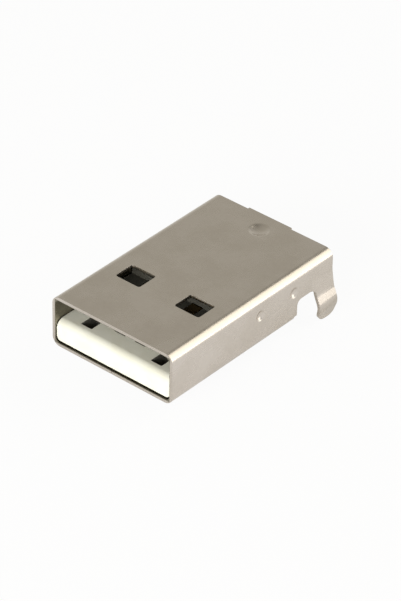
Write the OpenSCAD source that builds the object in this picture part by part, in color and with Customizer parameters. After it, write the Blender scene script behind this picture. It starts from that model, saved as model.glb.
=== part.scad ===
// USB-A plug for a circuit board, sunk-mount type: a folded steel shell with
// snap-in legs, a moulded insulator with its tongue, and four flat contacts
// whose tails lie on the board.
//
// Frame: the origin is the centre of the mouth. X runs across the plug, +Y
// runs from the mouth to the tails, +Z is up, away from the board.

/* [Shell] */
// Width of the shell
shell_w = 12; // [11:0.1:14]
// Height of the shell
shell_h = 4.5; // [4.3:0.1:6]
// Length of the shell, from the mouth to its rear edge
shell_l = 18.75; // [18:0.25:24]
// Thickness of the sheet
sheet = 0.3; // [0.2:0.05:0.4]
// Inside radius of the four long bends
bend_r = 0.45; // [0.2:0.05:0.6]
// Height of the open space above the contacts, which takes the socket's tongue
mating_gap = 2; // [1.9:0.05:2.2]

/* [Seam] */
// Gap of the butt seam along the underside
seam_gap = 0.05; // [0.02:0.01:0.1]
// Distance of the dovetail's middle from the mouth
dovetail_y = 10.6; // [9:0.1:12]
// Length of the dovetail at its neck
dovetail_neck = 1.1; // [0.8:0.1:1.5]
// Length of the dovetail at its head
dovetail_head = 1.8; // [1.6:0.1:2.4]
// How far the dovetail reaches across the seam
dovetail_reach = 1.3; // [0.8:0.1:1.8]

/* [Windows] */
// Width of each latching window
window_w = 2.4; // [2:0.1:2.6]
// Length of each latching window
window_l = 1.95; // [1.6:0.05:2.4]
// Distance of the windows from the mouth
window_y = 5.05; // [4.5:0.05:5.6]
// Distance between the middles of the two windows of a face
window_pitch = 5.9; // [5.4:0.1:6.2]
// Corner radius of the windows
window_r = 0.2; // [0.05:0.05:0.4]

/* [Dents] */
// Diameter of the dents in the side walls
side_dent_d = 0.95; // [0.6:0.05:1.2]
// Diameter of the dent in the top
top_dent_d = 1.7; // [0.8:0.05:1.8]
// Depth of every dent
dent_depth = 0.2; // [0.1:0.02:0.24]
// Distance of the front side dents from the mouth
front_dent_y = 10.1; // [9.6:0.1:11]
// Distance of the rear side dents from the mouth
rear_dent_y = 14.1; // [12.5:0.1:15]
// Height of the side dents above the shell's mid-height
side_dent_z = 0.6; // [0.2:0.05:0.8]
// Distance of the top dent from the mouth
top_dent_y = 17.05; // [15:0.05:17.3]

/* [Rear cut-out and legs] */
// Length of the floor, from the mouth to the board's edge
floor_l = 14.3; // [13.6:0.05:14.8]
// Distance of the side walls' cut-out from the mouth
cutout_y = 14.55; // [14.4:0.05:15.2]
// Corner radius of the cut-out
cutout_r = 0.5; // [0.1:0.05:0.6]
// Thickness of the board that the legs clip under
board_t = 1.6; // [1:0.1:2]
// Width of a leg, seen from the side
leg_w = 2.1; // [1.9:0.1:2.4]
// How far the leg goes below the board
leg_below = 1.65; // [1.5:0.05:2.4]
// How far the leg's kink lies below the board
kink_below = 0.13; // [0.05:0.01:0.3]
// Inside radius of the kink
kink_r = 1.05; // [0.5:0.05:1.2]
// Slope of the leg where it leaves the wall
flare_slope = 8.5; // [5:0.5:12]
// Slope of the leg above the kink
knee_slope = 23; // [15:1:26]
// Slope of the leg below the kink
toe_slope = 20; // [15:1:26]
// Radius of the leg's front lower corner
toe_front_r = 1.3; // [0.8:0.1:1.5]
// Radius of the leg's rear lower corner
toe_rear_r = 0.5; // [0.3:0.1:0.6]
// Width of the sheared carrier stub on the rear edge
stub_w = 4.3; // [3:0.1:6]
// Length of the carrier stub
stub_l = 0.18; // [0.05:0.01:0.3]
// Sideways place of the carrier stub
stub_x = -0.4; // [-1:0.1:1]

/* [Insulator] */
// Gap between the tongue's front and the mouth
tongue_inset = 0.1; // [0.05:0.05:0.4]
// Gap between the tongue's underside and the floor
tongue_lift = 0.16; // [0.05:0.01:0.2]
// Radius of the tongue's upper front edge
nose_r = 0.7; // [0.3:0.05:0.8]
// Radius of the tongue's lower long edges
keel_r = 0.4; // [0.2:0.05:0.5]
// Depth of the open space, from the mouth to the block
cavity_l = 8.65; // [8.4:0.05:9.2]
// Gap between the insulator and the shell
fit = 0.04; // [0.02:0.01:0.06]
// Gap between the insulator's rear and the shell's rear edge
rear_inset = 0.3; // [0.1:0.05:0.8]
// Width of each hollow in the rear face
core_w = 3.1; // [2:0.1:3.6]
// Height of each hollow in the rear face
core_h = 1.25; // [0.8:0.05:1.4]
// Depth of each hollow in the rear face
core_l = 3.2; // [2:0.1:4]
// Thickness of the web between the hollows
web_t = 2.6; // [2.2:0.1:3]

/* [Contacts] */
// Width of a contact
contact_w = 1; // [0.8:0.05:1.1]
// Thickness of a contact
contact_t = 0.3; // [0.2:0.05:0.35]
// Distance between the middles of the two inner contacts
inner_pitch = 2; // [1.8:0.1:2.2]
// Distance between an inner contact and the outer one beside it
outer_pitch = 2.5; // [2.3:0.1:2.6]
// Distance of the outer slots from the mouth
slot_y = 1.05; // [0.9:0.05:1.4]
// How much further back the inner slots and contacts start
inner_setback = 1; // [0.8:0.1:1.2]
// Gap on each side of a contact in its slot
slot_clearance = 0.03; // [0.03:0.01:0.08]
// Length of the well at the front of each slot
well_l = 1.75; // [1.5:0.05:2.2]
// Distance of a contact's nose from the front of its slot
nose_inset = 0.9; // [0.5:0.05:1]
// Width of the narrowed nose
nose_w = 0.32; // [0.3:0.02:0.7]
// Length of the narrowed nose along the contact
nose_l = 0.55; // [0.45:0.05:0.8]
// Bend of the nose, downwards
nose_angle = 60; // [30:5:75]
// Inside radius of the nose's bend
nose_bend_r = 0.15; // [0.1:0.05:0.25]
// How far a contact's barbs stand out of its sides
barb = 0.02; // [0.01:0.005:0.025]
// How far the tails reach behind the shell
tail_l = 1.5; // [1:0.1:2.5]
// Width of a tail
tail_w = 0.8; // [0.5:0.05:0.9]
// Size of the chamfers at a tail's end
tail_chamfer = 0.15; // [0.05:0.05:0.2]

/* [Hidden] */

$fn = 48;
past = 1;         // how far a cutter runs past the surface it cuts
bend_step = 7;    // turn between two points of a bend, in degrees

// Inside of the shell
inner_w = shell_w - 2 * sheet;
inner_h = shell_h - 2 * sheet;
roof_z = inner_h / 2;
floor_z = -inner_h / 2;

// Heights that the contacts set
contact_top = roof_z - mating_gap;
seat_z = contact_top - contact_t;          // top of the board
kink_z = seat_z - board_t - kink_below;
toe_z = seat_z - board_t - leg_below;

// Legs
leg_y = shell_l - leg_w;
flare_z = seat_z + cutout_r + 0.35;         // where a leg leaves the wall
knee_z = seat_z - 0.6;                      // where its slope grows
knee_r = 1.5;                               // inside radius of both gentle bends

// Insulator
body_w = inner_w - 2 * fit;
tongue_z = floor_z + tongue_lift;
insulator_end = shell_l - rear_inset;
block_floor_end = floor_l + fit;            // the board meets this edge, not the sheet's
core_z = contact_top + 0.3;

// Contacts: the place of each across the plug, and how far back it starts
outer_x = inner_pitch / 2 + outer_pitch;
inner_x = inner_pitch / 2;
barb_l = 0.6;
barb_places = [cavity_l + 1.2, cavity_l + 3];
tail_end = shell_l + tail_l;

// ---------------------------------------------------------------- bent sheet

// A route along the middle of a bent strip runs through corners, each one
// [across, up, inside radius]. The first and last corners are its two ends.
function heading(a, b) = atan2(b.y - a.y, b.x - a.x);

// Places and headings along the arc that rounds corner c, with its
// neighbours at a and b
function arc_stations(a, c, b, t) =
    let (start = heading(a, c), raw = heading(c, b) - start,
         turn = raw - 360 * round(raw / 360), side = sign(turn),
         r = c.z + t / 2, count = ceil(abs(turn) / bend_step),
         centre = [c.x, c.y] - r * tan(abs(turn) / 2) * [cos(start), sin(start)]
                  + side * r * [-sin(start), cos(start)])
    [for (k = [0 : count])
        let (h = start + turn * k / count) [centre + side * r * [sin(h), -cos(h)], h]];

// Outline of a strip of thickness t along such a route
module strip(corners, t) {
    n = len(corners) - 1;
    first = corners[0];
    last = corners[n];
    route = concat([[[first.x, first.y], heading(first, corners[1])]],
                   [for (i = [1 : n - 1]) each arc_stations(corners[i - 1], corners[i], corners[i + 1], t)],
                   [[[last.x, last.y], heading(corners[n - 1], last)]]);
    edge = function (s, side) s[0] + side * t / 2 * [-sin(s[1]), cos(s[1])];
    polygon(concat([for (s = route) edge(s, 1)],
                   [for (k = [len(route) - 1 : -1 : 0]) edge(route[k], -1)]));
}

module rounded_rect(size, r) {
    square([size.x - 2 * r, size.y], center = true);
    square([size.x, size.y - 2 * r], center = true);
    for (x = [-1, 1], y = [-1, 1])
        translate([x * (size.x / 2 - r), y * (size.y / 2 - r)]) circle(r);
}

// What a round corner of radius r leaves out of a square one
module corner_bite(side, r) {
    difference() {
        translate([side > 0 ? -r : 0, 0]) square(r);
        translate([-side * r, r]) circle(r);
    }
}

// Stands a drawing in X and Z up, and gives it a length along +Y
module along_y(from, to) {
    translate([0, to, 0]) rotate([90, 0, 0]) linear_extrude(to - from) children();
}

// Stands a drawing in Y and Z up, and gives it a width along X, from the middle
module across_x(width) {
    rotate([90, 0, 90]) translate([0, 0, -width / 2]) linear_extrude(width) children();
}

// --------------------------------------------------------------------- dents

function dent_ball_r(d) = (d * d / 4 + dent_depth * dent_depth) / (2 * dent_depth);

// Puts its children at the centre of each dent's ball, outside the wall, with
// +Z pointing out of the wall. $d is the dent's diameter.
module at_dents() {
    let ($d = top_dent_d)
        translate([0, top_dent_y, shell_h / 2 + dent_ball_r($d) - dent_depth]) children();
    for (side = [-1, 1], y = [front_dent_y, rear_dent_y])
        let ($d = side_dent_d)
            translate([side * (shell_w / 2 + dent_ball_r($d) - dent_depth), y, side_dent_z])
                rotate([0, side * 90, 0]) children();
}

// The sheet that a dent pushes inwards
module dent_bulge() {
    r = dent_ball_r($d);
    intersection() {
        sphere(r + sheet);
        translate([0, 0, -r - sheet]) cylinder(d = 3 * $d, h = dent_depth + sheet / 2);
    }
}

// --------------------------------------------------------------------- shell

module seam_cut() {
    gap = seam_gap / 2;
    module tab(grow) {
        polygon([[-gap, -dovetail_neck / 2 - grow], [dovetail_reach + grow, -dovetail_head / 2 - grow],
                 [dovetail_reach + grow, dovetail_head / 2 + grow], [-gap, dovetail_neck / 2 + grow]]);
    }
    translate([0, 0, -shell_h / 2 - past]) linear_extrude(sheet + 2 * past)
        translate([0, dovetail_y]) {
            difference() {
                tab(seam_gap);
                tab(0);
            }
            for (end = [-1, 1])
                translate([-gap, end > 0 ? dovetail_neck / 2 : -dovetail_y - past])
                    square([seam_gap, end > 0 ? shell_l : dovetail_y + past - dovetail_neck / 2]);
        }
}

module windows() {
    for (side = [-1, 1])
        translate([side * window_pitch / 2, window_y + window_l / 2, -shell_h / 2 - past])
            linear_extrude(shell_h + 2 * past) rounded_rect([window_w, window_l], window_r);
}

// Room for the board: the floor stops at its edge, and the side walls have a
// round-cornered cut-out down to the legs
module rear_cut() {
    depth = seat_z + shell_h / 2 + past;
    translate([-shell_w, floor_l, -shell_h / 2 - past])
        cube([2 * shell_w, shell_l, past + sheet + bend_r / 2]);
    across_x(2 * shell_w) {
        translate([cutout_y, seat_z - depth]) square([leg_y - cutout_y, depth - cutout_r]);
        translate([cutout_y + cutout_r, seat_z - depth])
            square([leg_y - cutout_y - 2 * cutout_r, depth]);
        for (y = [cutout_y + cutout_r, leg_y - cutout_r])
            translate([y, seat_z - cutout_r]) circle(cutout_r);
    }
    translate([-shell_w, leg_y, seat_z - depth]) cube([2 * shell_w, leg_w + past, depth + flare_z - seat_z]);
}

// Outline of a leg seen from the side, with its two rounded toes
module leg_outline() {
    difference() {
        translate([leg_y, toe_z]) square([leg_w, flare_z + sheet - toe_z]);
        translate([leg_y, toe_z]) corner_bite(-1, toe_front_r);
        translate([shell_l, toe_z]) corner_bite(1, toe_rear_r);
    }
}

// One leg: it flares out of the side wall, kinks under the board and runs back
// in to its toe
module leg() {
    end_z = toe_z - sheet;
    wall_x = (shell_w - sheet) / 2;
    knee_x = wall_x + (flare_z - knee_z) * tan(flare_slope);
    kink_x = knee_x + (knee_z - kink_z) * tan(knee_slope);
    end_x = kink_x - (kink_z - end_z) * tan(toe_slope);
    intersection() {
        along_y(leg_y, shell_l)
            strip([[wall_x, flare_z + sheet, 0],
                   [wall_x, flare_z, knee_r],
                   [knee_x, knee_z, knee_r],
                   [kink_x, kink_z, kink_r],
                   [end_x, end_z, 0]], sheet);
        across_x(4 * shell_w) leg_outline();
    }
}

module shell() {
    outer_r = bend_r + sheet;
    color([0.66, 0.63, 0.59]) difference() {
        union() {
            difference() {
                along_y(0, shell_l) difference() {
                    rounded_rect([shell_w, shell_h], outer_r);
                    rounded_rect([inner_w, inner_h], bend_r);
                }
                seam_cut();
                windows();
                rear_cut();
            }
            translate([stub_x - stub_w / 2, shell_l - sheet, roof_z]) cube([stub_w, sheet + stub_l, sheet]);
            leg();
            mirror([1, 0, 0]) leg();
            at_dents() dent_bulge();
        }
        at_dents() sphere(dent_ball_r($d));
    }
}

// ----------------------------------------------------------------- insulator

// Puts its children at each contact: $setback is how far back it starts
module at_contacts() {
    for (x = [-outer_x, outer_x]) translate([x, 0, 0]) let ($setback = 0) children();
    for (x = [-inner_x, inner_x]) translate([x, 0, 0]) let ($setback = inner_setback) children();
}

module contact_slot() {
    w = contact_w + 2 * slot_clearance;
    front = slot_y + $setback;
    // open groove in the tongue
    translate([-w / 2, front, seat_z - fit])
        cube([w, cavity_l - front + past / 2, contact_t + fit + past]);
    // passage through the block
    translate([-w / 2, cavity_l, seat_z - fit]) cube([w, insulator_end, contact_t + 2 * fit]);
    // well that takes the nose of the contact, right through the tongue
    translate([-w / 2, front, tongue_z - past]) cube([w, well_l, contact_top - tongue_z + 2 * past]);
}

module tongue() {
    h = contact_top - tongue_z;
    intersection() {
        along_y(tongue_inset, cavity_l + past) translate([0, tongue_z]) difference() {
            translate([-body_w / 2, 0]) square([body_w, h]);
            for (side = [-1, 1]) translate([side * body_w / 2, 0]) corner_bite(side, keel_r);
        }
        across_x(shell_w) translate([tongue_inset, tongue_z]) {
            square([nose_r, h - nose_r]);
            translate([nose_r, 0]) square([cavity_l, h]);
            translate([nose_r, h - nose_r]) circle(nose_r);
        }
    }
}

// The block behind the mouth fills the shell, and behind the floor's end it
// is cut away to sit on the board
module block() {
    h = inner_h - 2 * fit;
    along_y(cavity_l, block_floor_end) rounded_rect([body_w, h], bend_r);
    intersection() {
        along_y(cavity_l, insulator_end) rounded_rect([body_w, h], bend_r);
        translate([-shell_w, cavity_l, seat_z]) cube([2 * shell_w, shell_l, shell_h]);
    }
}

module insulator() {
    color([0.93, 0.91, 0.84]) difference() {
        union() {
            tongue();
            block();
        }
        at_contacts() contact_slot();
        at_dents() sphere(dent_ball_r($d) + sheet + fit);
        for (side = [-1, 1])
            translate([side * (web_t + core_w) / 2 - core_w / 2, insulator_end - core_l, core_z])
                cube([core_w, core_l + past, core_h]);
    }
}

// ------------------------------------------------------------------ contacts

// Outline of a contact seen from above, from its shoulders to its tail
module contact_plan(start) {
    end = tail_end - tail_chamfer;
    translate([-contact_w / 2, start]) square([contact_w, insulator_end - start]);
    translate([-tail_w / 2, insulator_end - past]) square([tail_w, end - insulator_end + past]);
    translate([0, end]) polygon([[-tail_w / 2, 0], [-tail_w / 2 + tail_chamfer, tail_chamfer],
                                 [tail_w / 2 - tail_chamfer, tail_chamfer], [tail_w / 2, 0]]);
    for (y = barb_places)
        translate([0, y]) polygon([[-contact_w / 2, 0], [-contact_w / 2 - barb, barb_l],
                                   [contact_w / 2 + barb, barb_l], [contact_w / 2, 0]]);
}

module contact(x, setback) {
    nose_y = slot_y + setback + nose_inset;
    flat_y = nose_y + nose_l;
    bend_y = nose_y + (contact_t + nose_bend_r) / 2;
    middle_z = seat_z + contact_t / 2;
    nose_run = (nose_bend_r + contact_t) * tan(nose_angle / 2);
    color([0.83, 0.66, 0.32]) translate([x, 0, 0]) {
        translate([0, 0, seat_z]) linear_extrude(contact_t) contact_plan(flat_y);
        across_x(nose_w)
            strip([[flat_y + contact_w / 2, middle_z, 0],
                   [bend_y, middle_z, nose_bend_r],
                   [bend_y - nose_run * cos(nose_angle), middle_z - nose_run * sin(nose_angle), 0]],
                  contact_t);
    }
}

module power_contact() contact(outer_x, 0);
module data_minus_contact() contact(inner_x, inner_setback);
module data_plus_contact() contact(-inner_x, inner_setback);
module ground_contact() contact(-outer_x, 0);

shell();
insulator();
power_contact();
data_minus_contact();
data_plus_contact();
ground_contact();
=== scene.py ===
# %% [markdown]
# # A plug of folded steel for a circuit board
# The real part has six pieces: a steel shell that is stamped flat and folded round, one moulded
# insulator, and four stamped contacts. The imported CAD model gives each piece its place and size.
# Here each one is modelled again with soft bends, rounded sheared edges and worn metal, so that
# light runs over it as it does over the real one.

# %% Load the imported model
import math

import bmesh
import bpy
from mathutils import Matrix, Vector


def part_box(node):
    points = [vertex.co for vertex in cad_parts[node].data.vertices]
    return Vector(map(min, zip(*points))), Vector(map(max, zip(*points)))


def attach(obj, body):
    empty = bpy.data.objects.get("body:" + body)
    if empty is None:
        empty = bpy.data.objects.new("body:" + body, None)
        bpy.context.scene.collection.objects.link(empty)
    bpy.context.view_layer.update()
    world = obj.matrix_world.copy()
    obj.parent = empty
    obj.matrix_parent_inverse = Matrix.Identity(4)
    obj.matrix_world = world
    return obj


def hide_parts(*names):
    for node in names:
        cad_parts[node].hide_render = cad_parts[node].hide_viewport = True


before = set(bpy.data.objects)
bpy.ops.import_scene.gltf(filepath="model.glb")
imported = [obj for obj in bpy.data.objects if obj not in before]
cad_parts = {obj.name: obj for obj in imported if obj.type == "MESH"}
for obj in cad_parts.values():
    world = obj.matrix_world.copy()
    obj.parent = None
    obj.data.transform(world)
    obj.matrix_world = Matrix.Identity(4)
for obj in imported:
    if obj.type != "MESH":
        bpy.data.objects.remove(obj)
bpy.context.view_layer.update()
print("CAD pieces:", ", ".join(sorted(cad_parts)))

# %% [markdown]
# ## Millimetres first, metres last
# Blender merges points that are closer than a tenth of a millimetre, and this sheet is only three
# tenths thick. One way is to lower every tool's threshold. It is simpler to model in millimetres,
# one Blender unit to a millimetre, and to shrink each finished piece to metres at the end.

# %% Sizes that the CAD model gives, in millimetres
MM = 0.001
X, Y, Z = 0, 1, 2


def box_mm(node):
    """Lowest and highest corner of a CAD piece, in millimetres."""
    return [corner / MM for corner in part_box(node)]


shell_low, shell_high = box_mm("shell")
body_low, body_high = box_mm("insulator")
print("shell", shell_low[:], shell_high[:])
print("insulator", body_low[:], body_high[:])

# %% [markdown]
# ## Working as by hand, from a script
# A tool in edit mode acts on what is selected. So each step first selects faces, edges or points
# by their place or direction, and then calls the tool. These few helpers do the selecting.

# %% Helpers for edit mode
SELECT_MODE = {"verts": "VERT", "edges": "EDGE", "faces": "FACE"}
TOUCH = 1e-3        # two places closer than this, in millimetres, are the same


def close_piece():
    if bpy.context.mode != "OBJECT":
        bpy.ops.object.mode_set(mode="OBJECT")
    bpy.ops.object.select_all(action="DESELECT")


def open_piece(piece):
    """Opens one piece in edit mode, unless it is open already."""
    if bpy.context.mode == "EDIT_MESH" and bpy.context.object is piece:
        return
    close_piece()
    piece.select_set(True)
    bpy.context.view_layer.objects.active = piece
    bpy.ops.object.mode_set(mode="EDIT")


def pick(piece, kind, test=lambda part: True):
    """Selects the verts, edges or faces of a piece that pass a test, and says how many."""
    open_piece(piece)
    bpy.ops.mesh.select_mode(type=SELECT_MODE[kind])
    bpy.ops.mesh.select_all(action="DESELECT")
    mesh = bmesh.from_edit_mesh(piece.data)
    found = [part for part in getattr(mesh, kind) if test(part)]
    for part in found:
        part.select_set(True)
    mesh.select_flush_mode()
    bmesh.update_edit_mesh(piece.data)
    return len(found)


def same(a, b):
    return abs(a - b) < TOUCH


def middle(part):
    return sum((v.co for v in part.verts), Vector()) / len(part.verts)


def runs_along(edge, axis):
    line = edge.verts[1].co - edge.verts[0].co
    return abs(line[axis]) > 0.999 * line.length


def add_block(name, low, high):
    """Adds a cube that fills the space between two corners."""
    close_piece()
    size = [b - a for a, b in zip(low, high)]
    place = [(a + b) / 2 for a, b in zip(low, high)]
    bpy.ops.mesh.primitive_cube_add(size=1, location=place, scale=size)
    bpy.ops.object.transform_apply(location=True, rotation=True, scale=True)
    bpy.context.object.name = name
    return bpy.context.object


def slice_at(piece, axis, place, test=lambda face: True):
    """Cuts the chosen faces in two along a plane across one axis."""
    pick(piece, "faces", test)
    normal = [float(axis == a) for a in (X, Y, Z)]
    bpy.ops.mesh.bisect(plane_co=[place * n for n in normal], plane_no=normal, threshold=1e-5)


def round_edges(piece, radius, steps, test):
    """Rounds the chosen edges and says how many there were."""
    count = pick(piece, "edges", test)
    bpy.ops.mesh.bevel(affect="EDGES", offset=radius, segments=steps, clamp_overlap=False)
    return count


def round_corners(piece, radius, steps, test):
    """Rounds the chosen corners of a flat face."""
    count = pick(piece, "verts", test)
    bpy.ops.mesh.bevel(affect="VERTICES", offset=radius, segments=steps, clamp_overlap=False)
    return count


def apply_modifier(piece, kind, **settings):
    """Adds a modifier with these settings and applies it at once."""
    close_piece()
    piece.select_set(True)
    bpy.context.view_layer.objects.active = piece
    made = piece.modifiers.new(kind.lower(), kind)
    for name, value in settings.items():
        setattr(made, name, value)
    bpy.ops.object.modifier_apply(modifier=made.name)


def combine(piece, cutter, operation="DIFFERENCE"):
    """Cuts a piece with another one, or joins the two, and removes the other one."""
    close_piece()
    apply_modifier(piece, "BOOLEAN", object=cutter, operation=operation, solver="EXACT")
    bpy.data.objects.remove(cutter)


# %% [markdown]
# ## The shell, folded from one strip
# The real shell is a flat strip of plated steel that is folded round until its two ends meet
# underneath. It could be cut from solid blocks, as the CAD model is. Here it is modelled as sheet
# metal is made: first the outer skin with no thickness, its legs bent while it is still thin, and
# only then the thickness, so that each bend keeps its true inside and outside radius.

# %% The sleeve
sheet = 0.3
outer_r = 0.75
bend_strips = 12    # few enough that a bend's first strip is never taken for flat wall
half_w = 6.0
half_h = shell_high.z
stub_l = 0.18
shell_l = shell_high.y - stub_l

shell = add_block("folded_shell", (-half_w, 0, -half_h), (half_w, shell_l, half_h))
round_edges(shell, outer_r, bend_strips, lambda e: runs_along(e, Y))
pick(shell, "faces", lambda f: abs(f.normal.y) > 0.9)
bpy.ops.mesh.delete(type="FACE")
print("sleeve:", len(bmesh.from_edit_mesh(shell.data).faces), "faces")

# %% [markdown]
# ### Room for the board
# Behind the floor's end the board slides in, so the floor is gone there, and the side walls have
# an arch down to the legs. The faces are sliced where the cut runs, and what lies below is
# deleted. The legs are drawn straight down for now, as they lie in the flat strip.

# %% Open the rear and draw the legs
floor_l = 14.3
arch_y, arch_r = 14.55, 0.5
seat_z = -0.35
leg_y = shell_l - 2.1
toe_z = shell_low.z
wall_low = -half_h + outer_r
lip_z = -1.725


def lower(f):
    return middle(f).z < 1


slice_at(shell, Y, floor_l, lower)
slice_at(shell, Z, lip_z, lambda f: lower(f) and middle(f).y > floor_l)
pick(shell, "faces", lambda f: middle(f).y > floor_l and middle(f).z < lip_z)
bpy.ops.mesh.delete(type="FACE")
for place in (arch_y, leg_y):
    slice_at(shell, Y, place, lambda f: lower(f) and middle(f).y > floor_l)
slice_at(shell, Z, seat_z, lambda f: lower(f) and arch_y < middle(f).y < leg_y)
pick(shell, "faces", lambda f: arch_y < middle(f).y < leg_y and middle(f).z < seat_z)
bpy.ops.mesh.delete(type="FACE")
pick(shell, "faces", lambda f: middle(f).y > leg_y and middle(f).z < wall_low)
bpy.ops.mesh.delete(type="FACE")
pick(shell, "edges", lambda e: middle(e).y > leg_y and same(middle(e).z, wall_low))
bpy.ops.mesh.extrude_region_move(TRANSFORM_OT_translate={"value": (0, 0, toe_z - wall_low)})
pick(shell, "faces", lambda f: abs(f.normal.x) > 0.999)
bpy.ops.mesh.dissolve_faces()
print("each side wall is now one face:", pick(shell, "faces", lambda f: abs(f.normal.x) > 0.999) == 2)

# %% Round the arch's corners and the toes
toe_front_r, toe_rear_r = 1.3, 0.5


def corner_at(y, z):
    return lambda v: same(v.co.y, y) and same(v.co.z, z)


for y in (arch_y, leg_y):
    round_corners(shell, arch_r, 8, corner_at(y, seat_z))
round_corners(shell, toe_front_r, 16, corner_at(leg_y, toe_z))
round_corners(shell, toe_rear_r, 8, corner_at(shell_l, toe_z))
print("toes and arch rounded:", len(bmesh.from_edit_mesh(shell.data).verts), "points")

# %% [markdown]
# ### Bending the legs
# Each leg flares out of the wall, kinks just under the board so that it snaps in, and runs back
# in to its toe. Its outer outline is worked out once, as corners rounded by arcs. The leg is
# sliced wherever the outline turns, and each row of points is moved out to it. Just in front of
# the leg the wall follows it a little, since one sheet can't step.

# %% The outline of a bent leg
flare_z, knee_z, kink_z = 0.5, -0.95, -2.08
flare_slope, knee_slope, toe_slope = (math.radians(a) for a in (8.5, 23, 20))
gentle_r, kink_r = 1.5, 1.05
arc_step = math.radians(3.5)


def leg_outline():
    """Places [across, up] along the outside of a leg, from the wall down past the toe."""
    half = sheet / 2
    wall = Vector((half_w - half, flare_z))
    knee = wall + Vector((math.tan(flare_slope), -1)) * (flare_z - knee_z)
    kink = knee + Vector((math.tan(knee_slope), -1)) * (knee_z - kink_z)
    end = kink + Vector((-math.tan(toe_slope), -1)) * (kink_z - toe_z + sheet)
    corners = [wall + Vector((0, 1)), wall, knee, kink, end]
    radii = [0, gentle_r + half, gentle_r + half, kink_r + half]
    places = []
    for i in (1, 2, 3):
        before, here, after = corners[i - 1:i + 2]
        start = math.atan2(here.y - before.y, here.x - before.x)
        turn = math.atan2(after.y - here.y, after.x - here.x) - start
        side = math.copysign(1, turn)
        back_up = radii[i] * math.tan(abs(turn) / 2)
        centre = (here - back_up * Vector((math.cos(start), math.sin(start)))
                  + side * radii[i] * Vector((-math.sin(start), math.cos(start))))
        steps = math.ceil(abs(turn) / arc_step)
        for k in range(steps + 1):
            a = start + turn * k / steps
            outward = Vector((-math.sin(a), math.cos(a)))
            places.append(centre + (half - side * radii[i]) * outward)
    places.append(end + half * outward)
    return places


outline = leg_outline()
print("outline of a leg:", [tuple(round(c, 3) for c in p) for p in outline])

# %% Slice the legs and bend them
follow_y = leg_y - 0.6
top_row = outline[0].y


def reach(z):
    """How far outside the straight wall the leg's outside is, at height z."""
    for above, below in zip(outline, outline[1:]):
        if below.y <= z <= above.y:
            along = (above.y - z) / (above.y - below.y)
            return above.x + along * (below.x - above.x) - half_w
    return 0.0


def share(y):
    """How much of that the wall in front of the leg takes: none at first, then all."""
    t = min(max((y - follow_y) / (leg_y - follow_y), 0), 1)
    return t * t * (3 - 2 * t)


def beside_leg(f):
    return abs(middle(f).x) > half_w - TOUCH and middle(f).y > follow_y


slice_at(shell, Y, follow_y, lambda f: abs(f.normal.x) > 0.999)
for row in outline[:-1]:
    slice_at(shell, Z, row.y, beside_leg)
for k in range(1, 7):
    slice_at(shell, Y, follow_y + 0.1 * k, lambda f: beside_leg(f) and middle(f).z < top_row)

pick(shell, "verts", lambda v: abs(v.co.x) > half_w - TOUCH and v.co.y > follow_y and v.co.z < top_row)
mesh = bmesh.from_edit_mesh(shell.data)
rows = sorted({(round(v.co.z, 4), round(share(v.co.y), 3)) for v in mesh.verts if v.select})
for z, part in rows:
    for side in (-1, 1):
        pick(shell, "verts", lambda v: same(v.co.x, side * half_w) and v.co.y > follow_y
             and round(v.co.z, 4) == z and round(share(v.co.y), 3) == part)
        bpy.ops.transform.translate(value=(side * part * reach(z), 0, 0))
print("bent", len(rows), "rows of points on each side")

# %% [markdown]
# ### Dents and the carrier stub
# Small dents pressed into the walls hold the insulator. A patch of the wall is divided finely,
# and its middle point is pushed in with proportional editing, so that its neighbours follow on a
# smooth curve. A little smoothing rounds the rim. The depth of each is measured afterwards, since a
# push that finds no point makes no dent and gives no warning. On the rear edge a low stub is left where the
# part was sheared off the strip that carried it through the press.

# %% Press the dents
dent_depth = 0.2
side_dent_d, top_dent_d = 0.95, 1.7
side_dents = [(side * half_w, y, 0.6) for side in (-1, 1) for y in (10.1, 14.1)]
top_dent = (0, 17.05, half_h)


def press(centre, radius, across, along, normal, fine=31):
    """Pushes a round dent into a wall and gives its depth. across and along are the patch's axes."""
    edge = 1.35 * radius

    def on_wall(f):
        return f.normal.dot(normal) > 0.999

    def inside(axis):
        return lambda f: on_wall(f) and abs(middle(f)[axis] - centre[axis]) < edge

    for shift in (-edge, edge):
        slice_at(shell, along, centre[along] + shift, on_wall)
    for shift in (-edge, edge):
        slice_at(shell, across, centre[across] + shift, inside(along))
    pick(shell, "faces", lambda f: inside(along)(f) and inside(across)(f))
    bpy.ops.mesh.subdivide(number_cuts=fine)
    pick(shell, "verts", lambda v: (v.co - centre).length < TOUCH)
    bpy.ops.transform.translate(value=-dent_depth * 1.04 * normal, use_proportional_edit=True,
                                proportional_edit_falloff="INVERSE_SQUARE", proportional_size=radius)
    pick(shell, "verts", lambda v: (v.co - centre).length < 1.2 * radius)
    bpy.ops.mesh.vertices_smooth(factor=0.5, repeat=2)
    depth = -min((v.co - centre).dot(normal) for v in bmesh.from_edit_mesh(shell.data).verts
                 if (v.co - centre).length < radius)
    if depth < 0.5 * dent_depth:
        raise RuntimeError(f"the dent at {tuple(centre)} came out only {depth:.3f} deep")
    return round(depth, 3)


depths = [press(Vector(place), side_dent_d / 2, Z, Y, Vector((math.copysign(1, place[0]), 0, 0)))
          for place in side_dents]
depths.append(press(Vector(top_dent), top_dent_d / 2, X, Y, Vector((0, 0, 1))))
print("dents pressed, with the depth of each:", depths)

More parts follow.
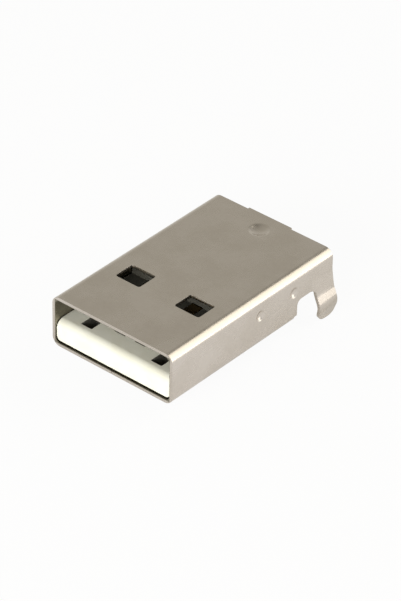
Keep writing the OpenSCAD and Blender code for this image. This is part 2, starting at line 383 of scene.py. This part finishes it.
# %% The stub on the rear edge
stub_x, stub_w = -0.4, 4.3
stub_ends = (stub_x - stub_w / 2, stub_x + stub_w / 2)
slice_at(shell, Y, shell_l - sheet / 2, lambda f: f.normal.z > 0.999)
for place in stub_ends:
    slice_at(shell, X, place, lambda f: f.normal.z > 0.999 and middle(f).y > shell_l - sheet / 2)
pick(shell, "edges", lambda e: same(middle(e).y, shell_l) and same(middle(e).z, half_h)
     and stub_ends[0] < middle(e).x < stub_ends[1])
bpy.ops.mesh.extrude_region_move(TRANSFORM_OT_translate={"value": (0, stub_l, 0)})
print("rear edge now at", round(max(v.co.y for v in bmesh.from_edit_mesh(shell.data).verts), 3))

# %% [markdown]
# ### Thickness, windows and seam
# Solidify gives the skin its thickness towards the inside. The two windows on each broad face are
# punched with blocks whose upright edges are rounded. Underneath, the strip's ends meet in a
# seam with a dovetail that locks them: it is cut as a very thin slot.

# %% Give the sheet its thickness
apply_modifier(shell, "SOLIDIFY", thickness=sheet, offset=-1, use_even_offset=True,
               use_quality_normals=True)
print("shell is a solid of", len(shell.data.polygons), "faces")

# %% Punch the windows
window_w, window_l, window_y, window_pitch, window_r = 2.4, 1.95, 5.05, 5.9, 0.2
for side in (-1, 1):
    x = side * window_pitch / 2
    punch = add_block("punch", (x - window_w / 2, window_y, -4), (x + window_w / 2, window_y + window_l, 4))
    round_edges(punch, window_r, 6, lambda e: runs_along(e, Z))
    combine(shell, punch)
print("shell has", len(shell.data.polygons), "faces with its windows")

# %% Part the seam
seam_gap = 0.05
dovetail_y, dovetail_reach, dovetail_neck, dovetail_head = 10.6, 1.3, 1.1, 1.8
seam_low, seam_high = -half_h - 1, -half_h + sheet + 0.4


def dovetail(name, grow):
    """A block with the outline of the dovetail, made larger by grow."""
    tab = add_block(name, (-seam_gap / 2, dovetail_y - dovetail_neck / 2 - grow, seam_low),
                    (dovetail_reach + grow, dovetail_y + dovetail_neck / 2 + grow, seam_high))
    pick(tab, "verts", lambda v: v.co.x > 1)
    bpy.ops.transform.resize(value=(1, (dovetail_head / 2 + grow) / (dovetail_neck / 2 + grow), 1),
                             center_override=(0, dovetail_y, 0))
    close_piece()
    return tab


slot = dovetail("dovetail_slot", seam_gap)
core = dovetail("dovetail_core", 0)
open_piece(core)
bpy.ops.mesh.select_all(action="SELECT")
bpy.ops.transform.resize(value=(1, 1, 1.5), center_override=(0, 0, (seam_low + seam_high) / 2))
pick(core, "verts", lambda v: v.co.x < 0)
bpy.ops.transform.translate(value=(-0.2, 0, 0))
combine(slot, core)
combine(shell, slot)
half_neck = dovetail_neck / 2
for from_y, to_y in ((-1, dovetail_y - half_neck), (dovetail_y + half_neck, floor_l + 1)):
    combine(shell, add_block("seam", (-seam_gap / 2, from_y, seam_low), (seam_gap / 2, to_y, seam_high)))
print("shell has", len(shell.data.polygons), "faces with its seam")

# %% [markdown]
# ### Sheared edges
# A sheared edge is never sharp. Points that lie on top of each other are merged, needless lines
# on flat faces are dissolved, and a narrow bevel rounds what is left. Weighted normals keep the
# broad faces flat right up to their bends. Last of all the piece shrinks to metres.

# %% Finish a piece
def finish_piece(piece, edge_round, steps=2, sharp=40):
    """Cleans a mesh, rounds its sharp edges, and brings it from millimetres to metres."""
    pick(piece, "verts")
    bpy.ops.mesh.remove_doubles(threshold=3e-3)
    bpy.ops.mesh.dissolve_limited(angle_limit=math.radians(0.2))
    close_piece()
    apply_modifier(piece, "BEVEL", width=edge_round, segments=steps, limit_method="ANGLE",
                   angle_limit=math.radians(sharp), use_clamp_overlap=False, miter_outer="MITER_ARC")
    pick(piece, "verts")
    bpy.ops.mesh.remove_doubles(threshold=2e-4)
    bpy.ops.transform.resize(value=(MM, MM, MM), center_override=(0, 0, 0))
    close_piece()
    piece.select_set(True)
    bpy.context.view_layer.objects.active = piece
    bpy.ops.object.shade_smooth_by_angle(angle=math.radians(35))
    apply_modifier(piece, "WEIGHTED_NORMAL", keep_sharp=True, weight=80)
    close_piece()
    print(piece.name, "has", sum(len(f.vertices) - 2 for f in piece.data.polygons), "triangles")


finish_piece(shell, 0.03)

# %% [markdown]
# ## The insulator
# One moulding does three jobs: its tongue carries the contacts, its block holds them in line, and
# its rear sits on the board. Moulded plastic has rounded edges and hollows that keep its walls
# even. It starts as two blocks with rounded edges that are joined, and the room for the board,
# the slots and the hollows are cut out of them.

# %% Tongue and block
fit = 0.04
tongue_z = -half_h + sheet + 0.16
contact_top = -0.05
cavity_l = 8.65
nose_r, keel_r, block_r = 0.7, 0.4, 0.45


def at_height(e, z):
    return same(middle(e).z, z)


tongue = add_block("tongue", (body_low.x, body_low.y, tongue_z), (body_high.x, cavity_l + 1, contact_top))
round_edges(tongue, nose_r, 14, lambda e: runs_along(e, X) and same(middle(e).y, body_low.y)
            and at_height(e, contact_top))
round_edges(tongue, keel_r, 8, lambda e: runs_along(e, Y) and at_height(e, tongue_z))

insulator = add_block("moulded_insulator", (body_low.x, cavity_l, body_low.z), body_high)
round_edges(insulator, block_r, 8, lambda e: runs_along(e, Y))
combine(insulator, add_block("board_room", (-7, floor_l + fit, -3), (7, 20, seat_z)))
combine(insulator, tongue, "UNION")
print("tongue and block:", len(insulator.data.polygons), "faces")

# %% Slots for the contacts
contact_t = 0.3
slot_w = 1.06
slot_y, well_l = 1.05, 1.75
contact_places = {"ground_contact": (-3.5, 0.0), "data_plus_contact": (-1.0, 1.0),
                  "data_minus_contact": (1.0, 1.0), "power_contact": (3.5, 0.0)}
for x, setback in contact_places.values():
    low_x, high_x = x - slot_w / 2, x + slot_w / 2
    front = slot_y + setback
    groove_z = seat_z - fit
    cuts = [((low_x, front, groove_z), (high_x, cavity_l, 1)),
            ((low_x, cavity_l - 0.01, groove_z), (high_x, 20, contact_top + fit)),
            ((low_x, front, -3), (high_x, front + well_l, 1))]
    for low, high in cuts:
        combine(insulator, add_block("slot", low, high))
print("four slots cut")

# %% Hollows in the rear, and room for the dents
core_w, core_h, core_l, web_t = 3.1, 1.25, 3.2, 2.6
core_z = contact_top + 0.3
for side in (-1, 1):
    x = side * (web_t + core_w) / 2
    hollow = add_block("hollow", (x - core_w / 2, body_high.y - core_l, core_z),
                       (x + core_w / 2, 20, core_z + core_h))
    round_edges(hollow, 0.2, 5, lambda e: runs_along(e, Y))
    combine(insulator, hollow)
for place, diameter in [(place, side_dent_d) for place in side_dents] + [(top_dent, top_dent_d)]:
    ball_r = (diameter ** 2 / 4 + dent_depth ** 2) / (2 * dent_depth)
    outward = Vector((math.copysign(1, place[0]), 0, 0)) if place[0] else Vector((0, 0, 1))
    close_piece()
    bpy.ops.mesh.primitive_uv_sphere_add(segments=48, ring_count=24, radius=ball_r + sheet + fit,
                                         location=Vector(place) + outward * (ball_r - dent_depth))
    bpy.ops.object.transform_apply(location=True)
    combine(insulator, bpy.context.object)
finish_piece(insulator, 0.05)

# %% [markdown]
# ## The contacts
# Each contact is stamped from thin copper alloy. Its nose is narrow and bent down into a well, so
# that it can't catch on the socket; small barbs hold it in the plastic; and its tail has cut
# corners. One is modelled, and the other three are copies. The two inner ones, for data, start
# further back so that power connects first, so their noses are moved.

# %% One contact
contact_w, tail_w, tail_chamfer = 1.0, 0.8, 0.15
nose_w, nose_l, nose_bend_r = 0.32, 0.55, 0.15
nose_turn = math.radians(60)
barb, barb_l = 0.02, 0.6
nose_y = slot_y + 0.9
flat_y = nose_y + nose_l
bend_y = nose_y + (contact_t + nose_bend_r) / 2
tail_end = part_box("power_contact")[1].y / MM


def stretch(piece, y, kind="faces"):
    """Selects what lies at one end of a contact."""
    return pick(piece, kind, lambda part: all(same(v.co.y, y) for v in part.verts))


def scale_end(width_from, width_to):
    bpy.ops.transform.resize(value=(width_to / width_from, 1, 1), center_override=(0, 0, 0))


contact = add_block("contact", (-contact_w / 2, flat_y, seat_z), (contact_w / 2, body_high.y, contact_top))
stretch(contact, body_high.y)
bpy.ops.mesh.inset(thickness=0.0)
scale_end(contact_w, tail_w)
for run, width in ((tail_end - body_high.y - tail_chamfer, tail_w),
                   (tail_chamfer, tail_w - 2 * tail_chamfer)):
    bpy.ops.mesh.extrude_region_move(TRANSFORM_OT_translate={"value": (0, run, 0)})
    scale_end(tail_w, width)
stretch(contact, flat_y)
bpy.ops.mesh.inset(thickness=0.0)
scale_end(contact_w, nose_w)
straight = flat_y - bend_y - (nose_bend_r + contact_t / 2) * math.tan(nose_turn / 2)
bpy.ops.mesh.extrude_region_move(TRANSFORM_OT_translate={"value": (0, -straight, 0)})
bpy.ops.mesh.spin(steps=8, angle=nose_turn, axis=(1, 0, 0),
                  center=(0, flat_y - straight, seat_z - nose_bend_r))
mesh = bmesh.from_edit_mesh(contact.data)
print("nose reaches from", round(min(v.co.y for v in mesh.verts), 3), "and down to",
      round(min(v.co.z for v in mesh.verts), 3), "for", nose_y, "and -0.5")

# %% Barbs
for from_mouth in (cavity_l + 1.2, cavity_l + 3):
    tip = from_mouth + barb_l
    for place in (from_mouth, tip, tip + 0.01):
        slice_at(contact, Y, place, lambda f: middle(f).y > flat_y)
    pick(contact, "verts", lambda v: same(v.co.y, tip))
    bpy.ops.transform.resize(value=(1 + 2 * barb / contact_w, 1, 1), center_override=(0, 0, 0))

# %% Four contacts in their places
contacts = {}
for name, (x, setback) in contact_places.items():
    close_piece()
    copied = contact.copy()
    copied.data = contact.data.copy()
    copied.name = name.replace("contact", "blade")
    bpy.context.scene.collection.objects.link(copied)
    pick(copied, "verts", lambda v: v.co.y < flat_y + TOUCH)
    bpy.ops.transform.translate(value=(0, setback, 0))
    pick(copied, "verts")
    bpy.ops.transform.translate(value=(x, 0, 0))
    finish_piece(copied, 0.03)
    contacts[name] = copied
bpy.data.objects.remove(contact)

# %% [markdown]
# ## Shader maths as plain arithmetic
# A finish is a recipe of small sums on patterns: so much grain, times so much wear. Adding each
# Math node by hand is slow to read, so a socket is wrapped in a small class that adds the nodes
# when it is used in arithmetic. Every other node comes from one method.

# %% Sockets that can be added and multiplied
class Signal:
    """One output of a node."""

    def __init__(self, recipe, socket):
        self.recipe, self.socket = recipe, socket

    def maths(self, operation, *values):
        return self.recipe.node("Math", {"operation": operation}, dict(enumerate(values or (self,))))

    def __add__(self, other):
        return self.maths("ADD", self, other)

    def __sub__(self, other):
        return self.maths("SUBTRACT", self, other)

    def __rsub__(self, other):
        return self.maths("SUBTRACT", other, self)

    def __mul__(self, other):
        return self.maths("MULTIPLY", self, other)

    def over(self, limit):
        return self.maths("GREATER_THAN", self, limit)

    def most(self, other):
        return self.maths("MAXIMUM", self, other)

    def ramp(self, low, high):
        """0 below low, 1 above high, and a smooth rise between them."""
        return self.recipe.node("MapRange", {"interpolation_type": "SMOOTHSTEP"},
                                {"Value": self, "From Min": low, "From Max": high})

    __radd__, __rmul__ = __add__, __mul__


class Recipe:
    """Makes the nodes of one material, or of the world."""

    def __init__(self, owner):
        owner.use_nodes = True
        self.tree = owner.node_tree
        self.tree.nodes.clear()

    def node(self, kind, settings=None, values=None, out=0):
        made = self.tree.nodes.new("ShaderNode" + kind)
        for name, value in (settings or {}).items():
            setattr(made, name, value)
        for name, value in (values or {}).items():
            if isinstance(value, Signal):
                self.tree.links.new(value.socket, made.inputs[name])
            else:
                made.inputs[name].default_value = value
        return Signal(self, made.outputs[out]) if len(made.outputs) else made

    def place(self, stretch=(1, 1, 1)):
        """A point's place on the piece, in metres, stretched along its axes."""
        here = self.node("TexCoord", out="Object")
        return self.node("Mapping", values={"Vector": here, "Scale": stretch})

    def along(self, axis):
        """A point's place along one axis of the piece, in metres."""
        return self.node("SeparateXYZ", values={0: self.node("TexCoord", out="Object")}, out=axis)

    def noise(self, size_mm, detail=3, stretch=(1, 1, 1), rough=0.5):
        """A soft random pattern whose blotches are about size_mm across."""
        return self.node("TexNoise", values={"Vector": self.place(stretch), "Scale": 1 / (size_mm * MM),
                                             "Detail": detail, "Roughness": rough})

    def mix(self, share, first, second):
        """A colour between two colours."""
        made = self.tree.nodes.new("ShaderNodeMix")
        made.data_type = "RGBA"
        sockets = {s.identifier: s for s in made.inputs}
        for name, value in (("Factor_Float", share), ("A_Color", first), ("B_Color", second)):
            if isinstance(value, Signal):
                self.tree.links.new(value.socket, sockets[name])
            else:
                sockets[name].default_value = value if name == "Factor_Float" else (*value, 1)
        return Signal(self, next(s for s in made.outputs if s.identifier == "Result_Color"))

    def finish(self, surface):
        self.node("OutputMaterial", values={"Surface": surface})


# %% [markdown]
# ## Plated steel
# The strip was rolled before it was stamped, so its nickel plate has fine grain along its length,
# faint cloudy patches from handling, and a few hairline scratches. Satin metal is mostly its
# reflections, so the grain changes roughness and bump much more than colour.
# Its inner faces are painted a dark tone as painted shade, and so are the contacts deep under the shell.

# %% The shell's finish
inner_depth = 0.85 * sheet      # deeper than the floor of a dent, which is still an outer face
cover_end = 14                  # where the plug opens again behind, in millimetres


def inner_faces(r):
    """1 on the inner faces of the shell, 0 outside: where the shell's painted shade goes."""
    x, z = (r.along(axis).maths("ABSOLUTE") for axis in "XZ")
    return (1 - x.over((half_w - inner_depth) * MM)) * (1 - z.over((half_h - inner_depth) * MM))


def under_cover(r):
    """Rises from 0 to 1 as a surface goes deep into the shell, and is 0 again behind it: where painted
    shade goes.
    """
    y = r.along("Y")
    return y.ramp(3.0 * MM, 5.5 * MM) * (1 - y.over(cover_end * MM))


def metal(name, colour, dark, rough, grain, painted_shade_mask, inside):
    """Rolled and plated metal, painted a dark tone as painted shade where the shade mask says so."""
    material = bpy.data.materials.new(name)
    r = Recipe(material)
    clouds = r.noise(2.6, detail=5)
    mottle = r.noise(0.35, detail=3)
    fine = r.noise(0.16, detail=3, stretch=(1, 0.3, 1))
    scratch = r.noise(0.22, detail=1, stretch=(1, 0.03, 1)).ramp(0.69, 0.74)
    scuff = r.noise(0.25, detail=1, stretch=(0.05, 0.6, 1)).ramp(0.70, 0.76)
    marks = scratch.most(scuff) * clouds.ramp(0.48, 0.62)
    tone = r.mix(clouds.ramp(0.32, 0.68) * 0.7 + mottle.ramp(0.3, 0.7) * 0.3, dark, colour)
    # painted shade: where the mask is 1, the dark inside colour replaces the metal's tone
    tone = r.mix(painted_shade_mask(r), tone, inside)
    roughness = rough + grain * (fine - 0.5) + 0.16 * (clouds - 0.5) + 0.08 * marks
    relief = 0.7 * fine + 0.3 * mottle - 0.5 * marks
    bump = r.node("Bump", values={"Strength": 0.04, "Distance": 0.006 * MM, "Height": relief})
    surface = r.node("BsdfPrincipled", values={"Base Color": tone, "Metallic": 1.0, "Roughness": roughness,
                                               "Normal": bump})
    r.finish(surface)
    return material


# The last colour is painted shade on the shell's inner faces.
nickel = metal("satin_nickel_plate", (0.66, 0.605, 0.55), (0.60, 0.545, 0.485), 0.27, 0.08,
               inner_faces, (0.26, 0.24, 0.19))
shell.data.materials.clear()
shell.data.materials.append(nickel)
print("shell finished in", nickel.name)

# %% [markdown]
# ## Ivory plastic
# The insulator is glass-filled plastic. It is matt, slightly uneven in tone, and a little waxy
# where light enters it. Its colour is painted much darker, as painted shade, deep under the shell
# and down in its slots, but not on the underside of the tongue, which shows through the lower windows.

# %% The insulator's finish
slot_shade_z = -1.7     # just above the underside of the tongue
ivory = bpy.data.materials.new("ivory_moulding")
r = Recipe(ivory)
clouds = r.noise(1.5)
grit = r.noise(0.08, detail=2)
tone = r.mix(clouds.ramp(0.3, 0.7), (0.84, 0.82, 0.70), (0.88, 0.87, 0.77))
x, y, z = (r.along(axis) for axis in "XYZ")
# painted shade: deep under the shell, and down in the slots and wells
deep = under_cover(r) * z.over(seat_z * MM)
slots = None
for place, setback in contact_places.values():
    across = (x - place * MM).maths("ABSOLUTE")
    near = (1 - across.over((slot_w / 2 + 0.005) * MM)) * y.over((slot_y + setback - 0.01) * MM)
    slots = near if slots is None else slots.most(near)
slots = slots * (1 - z.over((contact_top - 0.03) * MM)) * (1 - y.over(cover_end * MM))
slots = slots * z.over(slot_shade_z * MM)
# the painted shade mixes the plastic's tone most of the way to a dark brown-grey
tone = r.mix(deep.most(slots) * 0.85, tone, (0.05, 0.045, 0.035))
bump = r.node("Bump", values={"Strength": 0.25, "Distance": 0.006 * MM, "Height": grit})
surface = r.node("BsdfPrincipled", values={"Base Color": tone, "Roughness": 0.42 + 0.12 * (grit - 0.5),
                                           "Normal": bump})
r.finish(surface)
insulator.data.materials.clear()
insulator.data.materials.append(ivory)

# %% The contacts' finish
# The last colour is painted shade on the contacts deep under the shell.
gold = metal("gold_plate", (0.86, 0.62, 0.27), (0.78, 0.54, 0.22), 0.26, 0.08,
             under_cover, (0.16, 0.11, 0.05))
for blade in contacts.values():
    blade.data.materials.clear()
    blade.data.materials.append(gold)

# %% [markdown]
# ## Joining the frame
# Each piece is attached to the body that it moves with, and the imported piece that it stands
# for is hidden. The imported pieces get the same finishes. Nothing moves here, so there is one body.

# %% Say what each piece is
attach(shell, "root")
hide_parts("shell")
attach(insulator, "root")
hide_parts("insulator")
for name, blade in contacts.items():
    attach(blade, "root")
    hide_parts(name)
for name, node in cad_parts.items():
    node.data.materials.clear()
    node.data.materials.append({"shell": nickel, "insulator": ivory}.get(name, gold))

# %% [markdown]
# ## The camera
# A long lens from well away keeps the plug's edges nearly parallel, as a product picture does.
# The camera stands to the front right and looks down.

# %% Place the camera
azimuth, elevation, roll = (math.radians(a) for a in (40.305, 35.209, 0.919))
distance = 265.452
pivot = Vector((0, 9, 0))
back = Vector((math.sin(azimuth) * math.cos(elevation), -math.cos(azimuth) * math.cos(elevation),
               math.sin(elevation)))
right = Vector((math.cos(azimuth), math.sin(azimuth), 0))
up = back.cross(right)
right, up = (right * math.cos(roll) + up * math.sin(roll), up * math.cos(roll) - right * math.sin(roll))
stand = pivot + distance * back
aim = pivot + 0.756 * right - 0.175 * up
look = (stand - aim).normalized()
right = (right - right.dot(look) * look).normalized()
up = look.cross(right)

lens = bpy.data.cameras.new("camera")
lens.lens = 208.87
lens.clip_start, lens.clip_end = 0.01, 10
camera = bpy.data.objects.new("camera", lens)
bpy.context.scene.collection.objects.link(camera)
camera.matrix_world = Matrix.Translation(stand * MM) @ Matrix((right, up, look)).transposed().to_4x4()
bpy.context.scene.camera = camera
bpy.context.scene.view_settings.view_transform = "Standard"
print("camera stands", [round(c, 1) for c in stand], "mm from the mouth")

# %% [markdown]
# ## Floor, lamps and sky
# The floor is level and just touches the toes. Metal shows its surroundings, so they matter as
# much as the lamps: a white floor for the sides, a grey room to the left for the broad top, dark
# overhead, and one large warm lamp behind on the right that draws a bright line along the bend. A
# low lamp beside it lights the legs above their kinks, and a soft one in front shows in no
# reflection. In reflections the floor glows less close beside the plug and toward its rear.
# That weaker glow beside the plug and toward its rear is a painted shadow of the plug.

# %% Lay the floor
camera_glow = 0.93
glow_by_plug, glow_away, glow_lost_behind = 0.38, 0.36, 0.26
close_piece()
bpy.ops.mesh.primitive_plane_add(size=1200, location=(0, 0, toe_z))
floor = bpy.context.object
floor.name = "floor"
bpy.ops.object.transform_apply(location=True)
pick(floor, "verts")
bpy.ops.transform.resize(value=(MM, MM, MM), center_override=(0, 0, 0))
close_piece()
paper = bpy.data.materials.new("white_paper")
r = Recipe(paper)
rays = r.node("LightPath", out="Is Camera Ray")
glossy = r.node("LightPath", out="Is Glossy Ray")
through = r.node("LightPath", out="Is Transmission Ray")
# painted shadow: in reflections the floor's glow is weaker beside the plug and toward its rear
beside = r.along("X").maths("ABSOLUTE").ramp(7.0 * MM, 11.0 * MM)
toward_rear = r.along("Y").ramp(4.0 * MM, 22.0 * MM)
glow_with_painted_shadow = glow_by_plug + glow_away * beside - glow_lost_behind * toward_rear
seen = (camera_glow * rays.most(through)).most(glow_with_painted_shadow * glossy)
sheet_tone = r.mix(r.noise(40), (0.90, 0.90, 0.90), (0.92, 0.92, 0.92))
matt = r.node("BsdfPrincipled", values={"Base Color": sheet_tone, "Roughness": 0.9})
glow = r.node("Emission", values={"Color": (1, 1, 1, 1), "Strength": 1.0})
r.finish(r.node("MixShader", values={0: seen, 1: matt, 2: glow}))
floor.data.materials.append(paper)

# %% Light it
world = bpy.data.worlds.new("studio")
bpy.context.scene.world = world
w = Recipe(world)
sky = w.node("TexCoord", out="Generated")
height = w.node("SeparateXYZ", values={0: sky}, out="Z").ramp(0.0, 0.85)
to_right = w.node("SeparateXYZ", values={0: sky}, out="X").ramp(-0.5, 0.3)
horizon = w.mix(to_right, (0.66, 0.65, 0.60), (1.0, 1.0, 1.0))
overhead = w.mix(to_right, (0.45, 0.435, 0.385), (0.15, 0.145, 0.13))
grey = w.mix(height, horizon, overhead)
camera_ray = w.node("LightPath", out="Is Camera Ray")
colour = w.mix(camera_ray, grey, (1, 1, 1))
w.node("OutputWorld", values={"Surface": w.node("Background", values={"Color": colour, "Strength": 1.0})})


def add_lamp(name, direction, far, size, power, colour=(1, 1, 1)):
    """A soft square lamp, far millimetres away in a direction, that faces the plug."""
    direction = Vector(direction).normalized()
    data = bpy.data.lights.new(name, "AREA")
    data.shape, data.size, data.size_y = "RECTANGLE", size[0] * MM, size[1] * MM
    data.energy, data.color = power, colour
    lamp = bpy.data.objects.new(name, data)
    lamp.location = (pivot + far * direction) * MM
    lamp.rotation_euler = direction.to_track_quat("Z", "Y").to_euler()
    bpy.context.scene.collection.objects.link(lamp)
    return lamp


lamp_far = 300
add_lamp("bend_lamp", (0.503, 0.623, 0.599), lamp_far, (230, 270), 0.31, (1.0, 0.97, 0.85))
add_lamp("low_lamp", (0.79, 0.61, 0.08), lamp_far, (150, 60), 0.06, (1.0, 0.97, 0.90))
front = add_lamp("front_lamp", (0.15, -0.95, 0.33), lamp_far, (240, 140), 0.82, (1.0, 1.0, 0.97))
front.visible_glossy = False
print("lamps placed")
